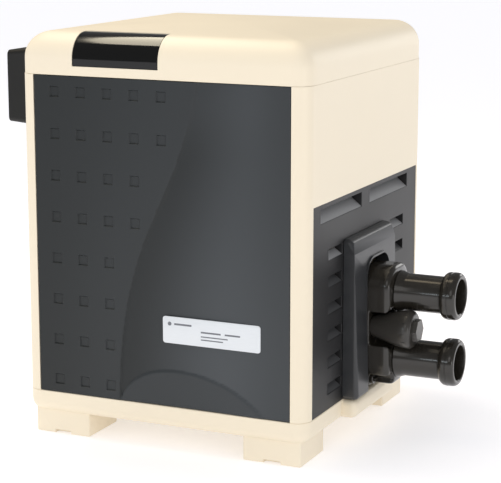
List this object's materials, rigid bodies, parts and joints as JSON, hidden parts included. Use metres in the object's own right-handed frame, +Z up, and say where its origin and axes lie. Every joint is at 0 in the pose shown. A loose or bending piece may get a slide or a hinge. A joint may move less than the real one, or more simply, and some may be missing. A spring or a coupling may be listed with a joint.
{
  "type": "pool heater",
  "caption": "Boxy cream pool and spa heater on a footed base, with a flip-up control window, louvred side panel, black water manifold stubs and a flue hood.",
  "frame": {"origin": "under the middle of the whole unit's bounding box, on the ground plane of the feet", "axes": "+Z up, the front panel faces -Y, the water pipes point to +X"},
  "size_m": [0.722, 0.533, 0.6619],
  "materials": {
    "cream_casing": "fine moulded texture, UV-stable cream",
    "charcoal_panel": "satin charcoal",
    "grille_grey": "satin dark grey",
    "pipe_black": "glossy black",
    "smoked_cover": "smoked, nearly opaque gloss",
    "display": "dark display window",
    "key_grey": "satin mid grey",
    "plate_silver": "printed satin foil",
    "steel": "brushed",
    "zinc": "galvanised",
    "copper": "bare copper",
    "aluminium": "die cast",
    "brass": "turned",
    "rubber": "matte",
    "enamel_grey": "satin enamel",
    "board_green": "solder mask",
    "ceramic": "glazed"
  },
  "bodies": {
    "cabinet": {"base_pan": "cream_casing", "casing_left": "cream_casing", "casing_right": "cream_casing", "rear_panel": "cream_casing", "lid": "cream_casing", "front_panel": "charcoal_panel", "control_pod": "charcoal_panel", "exhaust_hood": "charcoal_panel", "hood_screen": "charcoal_panel", "ignition_module": "charcoal_panel", "side_grille": "grille_grey", "manifold_surround": "grille_grey", "manifold_header": "pipe_black", "water_inlet_pipe": "pipe_black", "water_outlet_pipe": "pipe_black", "bypass_bonnet": "pipe_black", "drain_plug": "pipe_black", "display_window": "display", "pressure_switch": "key_grey", "name_plate": "plate_silver", "burner": "steel", "combustion_chamber": "steel", "chamber_lid": "steel", "hinge_pin_left": "steel", "hinge_pin_right": "steel", "rear_screw_1": "steel", "rear_screw_2": "steel", "rear_screw_3": "steel", "rear_screw_4": "steel", "flue_duct": "zinc", "chamber_stand": "zinc", "gas_pipe": "zinc", "gas_cap": "zinc", "electrics_plate": "zinc", "heat_exchanger_coil": "copper", "tube_sheet": "copper", "blower_housing": "aluminium", "air_gas_mixer": "aluminium", "gas_valve": "aluminium", "gas_nozzle": "brass", "high_limit_switch": "brass", "inlet_gasket": "rubber", "outlet_gasket": "rubber", "cable_gland": "rubber", "blower_motor": "enamel_grey", "transformer": "enamel_grey", "control_board": "board_green", "igniter": "ceramic"},
    "control_door": {"control_door": "smoked_cover"},
    "key_1": {"key_1": "key_grey"},
    "key_2": {"key_2": "key_grey"},
    "key_3": {"key_3": "key_grey"},
    "key_4": {"key_4": "key_grey"},
    "key_5": {"key_5": "key_grey"},
    "key_6": {"key_6": "key_grey"},
    "blower_rotor": {"blower_impeller": "aluminium", "blower_shaft": "steel"},
    "bypass_valve": {"bypass_plunger": "brass", "bypass_spring": "steel"},
    "gas_knob": {"gas_valve_knob": "rubber"}
  },
  "joints": [
    {"name": "control_door_hinge", "type": "hinge", "parent": "cabinet", "child": "control_door", "pos_m": [-0.123, -0.2255, 0.6486], "axis": [-1, 0, 0], "range_deg": [0, 100]},
    {"name": "key_1_press", "type": "slide", "parent": "cabinet", "child": "key_1", "axis": [0, 0.7071, -0.7071], "range_m": [0, 0.0015], "stiffness_N_per_m": 600},
    {"name": "key_2_press", "type": "slide", "parent": "cabinet", "child": "key_2", "axis": [0, 0.7071, -0.7071], "range_m": [0, 0.0015], "stiffness_N_per_m": 600},
    {"name": "key_3_press", "type": "slide", "parent": "cabinet", "child": "key_3", "axis": [0, 0.7071, -0.7071], "range_m": [0, 0.0015], "stiffness_N_per_m": 600},
    {"name": "key_4_press", "type": "slide", "parent": "cabinet", "child": "key_4", "axis": [0, 0.7071, -0.7071], "range_m": [0, 0.0015], "stiffness_N_per_m": 600},
    {"name": "key_5_press", "type": "slide", "parent": "cabinet", "child": "key_5", "axis": [0, 0.7071, -0.7071], "range_m": [0, 0.0015], "stiffness_N_per_m": 600},
    {"name": "key_6_press", "type": "slide", "parent": "cabinet", "child": "key_6", "axis": [0, 0.7071, -0.7071], "range_m": [0, 0.0015], "stiffness_N_per_m": 600},
    {"name": "blower_spin", "type": "hinge", "parent": "cabinet", "child": "blower_rotor", "pos_m": [-0.178, -0.059, 0.35], "axis": [0, 0, 1], "continuous": true},
    {"name": "bypass_lift", "type": "slide", "parent": "cabinet", "child": "bypass_valve", "axis": [1, 0, 0], "range_m": [0, 0.01], "stiffness_N_per_m": 1500},
    {"name": "gas_knob_turn", "type": "hinge", "parent": "cabinet", "child": "gas_knob", "pos_m": [-0.178, -0.1, 0.14], "axis": [0, -1, 0], "range_deg": [0, 90]}
  ]
}
